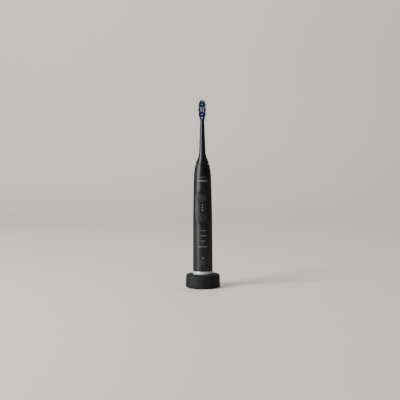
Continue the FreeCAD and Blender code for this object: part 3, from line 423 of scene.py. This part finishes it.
def one_tuft(seed, height, opening):
    """A tuft at the origin that stands out along -Y, with each filament bent outwards."""
    chance = random.Random(seed)
    shape = bmesh.new()
    for n in range(per_tuft):
        reach = tuft_reach * math.sqrt((n + 0.5) / per_tuft)
        turn = n * golden_turn + chance.uniform(-0.2, 0.2)
        foot = Vector((reach * math.cos(turn), rooted, reach * math.sin(turn)))
        opened = Vector((foot.x * opening + chance.gauss(0, 0.05 * MM), 0,
                         foot.z * opening + chance.gauss(0, 0.05 * MM)))
        length = (rooted + height) * chance.uniform(0.985, 1.0)
        first = length * straight
        stand = Matrix.Translation(foot - Vector((0, first / 2, 0))) @ stood_up
        made = bmesh.ops.create_cone(shape, cap_ends=True, segments=6, radius1=filament_radius,
                                     radius2=filament_radius, depth=first, matrix=stand)["verts"]
        tip = min({face for v in made for face in v.link_faces}, key=lambda face: face.calc_center_median().y)
        for start, end, shrink in stretches:
            tip = bmesh.ops.extrude_discrete_faces(shape, faces=[tip])["faces"][0]
            step = opened * (end ** 2 - start ** 2) - Vector((0, length * (end - start), 0))
            bmesh.ops.translate(shape, verts=tip.verts[:], vec=step)
            middle = Matrix.Translation(-tip.calc_center_median())
            bmesh.ops.scale(shape, verts=tip.verts[:], vec=(shrink, 1, shrink), space=middle)
    made = bpy.data.meshes.new("one_tuft")
    shape.to_mesh(made)
    shape.free()
    return made


def bristles(name, rows, height, opening, seed):
    """All tufts of one colour as one mesh: four different tufts, turned by chance and set in their holes."""
    kinds = [one_tuft(seed + n, height, opening) for n in range(4)]
    chance = random.Random(seed)
    shape = bmesh.new()
    for row, distances in rows.items():
        for x in distances:
            for side in ((1, -1) if x else (1,)):
                for end in ((1, -1) if row else (1,)):
                    before = len(shape.verts)
                    shape.from_mesh(chance.choice(kinds))
                    shape.verts.ensure_lookup_table()
                    place = Vector((side * x * MM, plate_front, plate_middle + end * row * row_pitch))
                    lean = (Matrix.Rotation(place.x * lean_out, 4, "Z")
                            @ Matrix.Rotation((plate_middle - place.z) * lean_along, 4, "X"))
                    turn = Matrix.Rotation(chance.uniform(0, math.tau), 4, "Y")
                    bmesh.ops.transform(shape, verts=shape.verts[before:],
                                        matrix=Matrix.Translation(place) @ lean @ turn)
    data = bpy.data.meshes.new(name)
    shape.to_mesh(data)
    shape.free()
    for kind in kinds:
        bpy.data.meshes.remove(kind)
    data.shade_smooth()
    made = bpy.data.objects.new(name, data)
    bpy.context.scene.collection.objects.link(made)
    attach(made, "brush_head")
    return made


def nylon(name, painted_shade_foot_colour, tip_colour):
    """Dyed clear nylon with a soft shine, darker down in the tuft towards the plate as painted shade, lighter at
    the tips.
    """
    material, tree, shader = new_finish(name, tip_colour, 0.3)
    place = tree.nodes.new("ShaderNodeTexCoord")
    axes = tree.nodes.new("ShaderNodeSeparateXYZ")
    tree.links.new(place.outputs["Object"], axes.inputs["Vector"])
    shade = tree.nodes.new("ShaderNodeMath")
    shade.operation = "MULTIPLY"
    # Painted shade: the colour darkens with depth into the tuft, from the tips down to the plate, times a random
    # tone.
    tree.links.new(spread(tree, axes.outputs["Y"], 1.0, 0.0, -11.4 * MM, -3.0 * MM), shade.inputs[0])
    tree.links.new(spread(tree, noise(tree, 0.4 * MM, 1), 0.75, 1.0), shade.inputs[1])
    dye_and_painted_shade = tint(tree, shade.outputs["Value"], painted_shade_foot_colour, tip_colour, 0.0, 1.0)
    tree.links.new(dye_and_painted_shade, shader.inputs["Base Color"])
    tree.links.new(spread(tree, noise(tree, 0.3 * MM, 1), 0.22, 0.4), shader.inputs["Roughness"])
    shader.inputs["Subsurface Weight"].default_value = 0.6
    shader.inputs["Subsurface Radius"].default_value = (0.8 * MM, 0.8 * MM, 1 * MM)
    return material


# Each nylon's first colour is the painted shade deep in the tufts, its second the filaments' own colour at the
# tips.
white_bristles = bristles("bristles_white", white_rows, height=9.2 * MM, opening=0.12, seed=11)
white_bristles.data.materials.append(nylon("white_nylon", (0.84, 0.88, 1.0), (0.94, 0.96, 1.0)))
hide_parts("tufts_white")
blue_bristles = bristles("bristles_blue", blue_rows, height=8.9 * MM, opening=0.3, seed=23)
blue_bristles.data.materials.append(nylon("blue_nylon", (0.010, 0.013, 0.11), (0.035, 0.05, 0.30)))
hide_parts("tufts_blue")


# ------------------------------------------------------------------ printed marks
# Two plain bars near the top of the shell and a power sign on the upper button, pad-printed in grey ink a few
# hundredths of a millimetre thick, and three dull black dashes along the front of the neck.

ink_thick, drawn_y = 0.03 * MM, -50 * MM  # each mark is drawn flat, clear of the front, and then laid on


def print_on(name, shape, node, body, ink):
    """Lays a flat drawn shape onto a CAD node's front, as a printed mark that rides with its body."""
    for v in shape.verts:
        place = nodes[node].ray_cast(Vector((v.co.x, drawn_y, v.co.z)), Vector((0, 1, 0)))[1]
        v.co = place - Vector((0, ink_thick, 0))
    bmesh.ops.recalc_face_normals(shape, faces=shape.faces)
    if sum(face.normal.y * face.calc_area() for face in shape.faces) > 0:
        bmesh.ops.reverse_faces(shape, faces=shape.faces)
    bmesh.ops.solidify(shape, geom=shape.faces[:], thickness=ink_thick * 1.6)
    data = bpy.data.meshes.new(name)
    shape.to_mesh(data)
    shape.free()
    data.materials.append(ink)
    made = bpy.data.objects.new(name, data)
    bpy.context.scene.collection.objects.link(made)
    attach(made, body)


def bar(width, height, middle_z, middle_x=0):
    """A flat bar with cut corners, seen from the front and fine enough to bend round the shell."""
    shape = bmesh.new()
    place = (Matrix.Translation((middle_x, drawn_y, middle_z)) @ stood_up
             @ Matrix.Diagonal((width, height, 1, 1)))
    bmesh.ops.create_grid(shape, x_segments=28, y_segments=2, size=0.5, matrix=place)
    corners = [v for v in shape.verts if len(v.link_faces) == 1]
    bmesh.ops.bevel(shape, geom=corners, affect="VERTICES", offset=height * 0.2, segments=2, profile=0.5,
                    material=-1)
    return shape


ink = moulded("bar_grey_ink", (0.128, 0.128, 0.122), 0.5, grain=0.3 * MM, depth=0.004 * MM, vary=0.2)[0]
print_on("crest_line", bar(12.4 * MM, 0.5 * MM, 156.3 * MM), "handle_housing", "handle", ink)
print_on("crest_bar", bar(14.6 * MM, 1.5 * MM, 151.1 * MM), "handle_housing", "handle", ink)

sign = bmesh.new()
sign_middle = Vector((0, drawn_y, 127.0 * MM))
half_opening = 0.62  # radians, half of the gap at the top of the sign's ring
ends = [sign.verts.new(sign_middle + Vector((math.sin(half_opening) * r, 0, math.cos(half_opening) * r)))
        for r in (1.35 * MM, 1.65 * MM)]
bmesh.ops.spin(sign, geom=[*ends, sign.edges.new(ends)], cent=sign_middle, axis=(0, 1, 0),
               angle=math.tau - 2 * half_opening, steps=30)
upright = (Matrix.Translation(sign_middle + Vector((0, 0, 1.2 * MM))) @ stood_up
           @ Matrix.Diagonal((0.3 * MM, 1.5 * MM, 1, 1)))
bmesh.ops.create_grid(sign, x_segments=1, y_segments=4, size=0.5, matrix=upright)
dim_ink = moulded("dim_grey_ink", (0.05, 0.05, 0.05), 0.5, grain=0.3 * MM, depth=0.004 * MM, vary=0.2)[0]
print_on("power_sign", sign, "power_button", "power_button", dim_ink)

dull_black = moulded("dull_black_ink", (0.003, 0.003, 0.0035), 0.75, grain=0.3 * MM, depth=0.006 * MM,
                     vary=0.2, specular=0.1)[0]
dash_wide, dash_x = 1.1 * MM, -0.25 * MM
for number, (dash_z, dash_long) in enumerate(((227.0, 3.2), (214.8, 5.2), (199.5, 4.4)), 1):
    dash = bar(dash_wide, dash_long * MM, dash_z * MM, dash_x)
    print_on(f"neck_dash_{number}", dash, "brush_neck", "brush_head", dull_black)
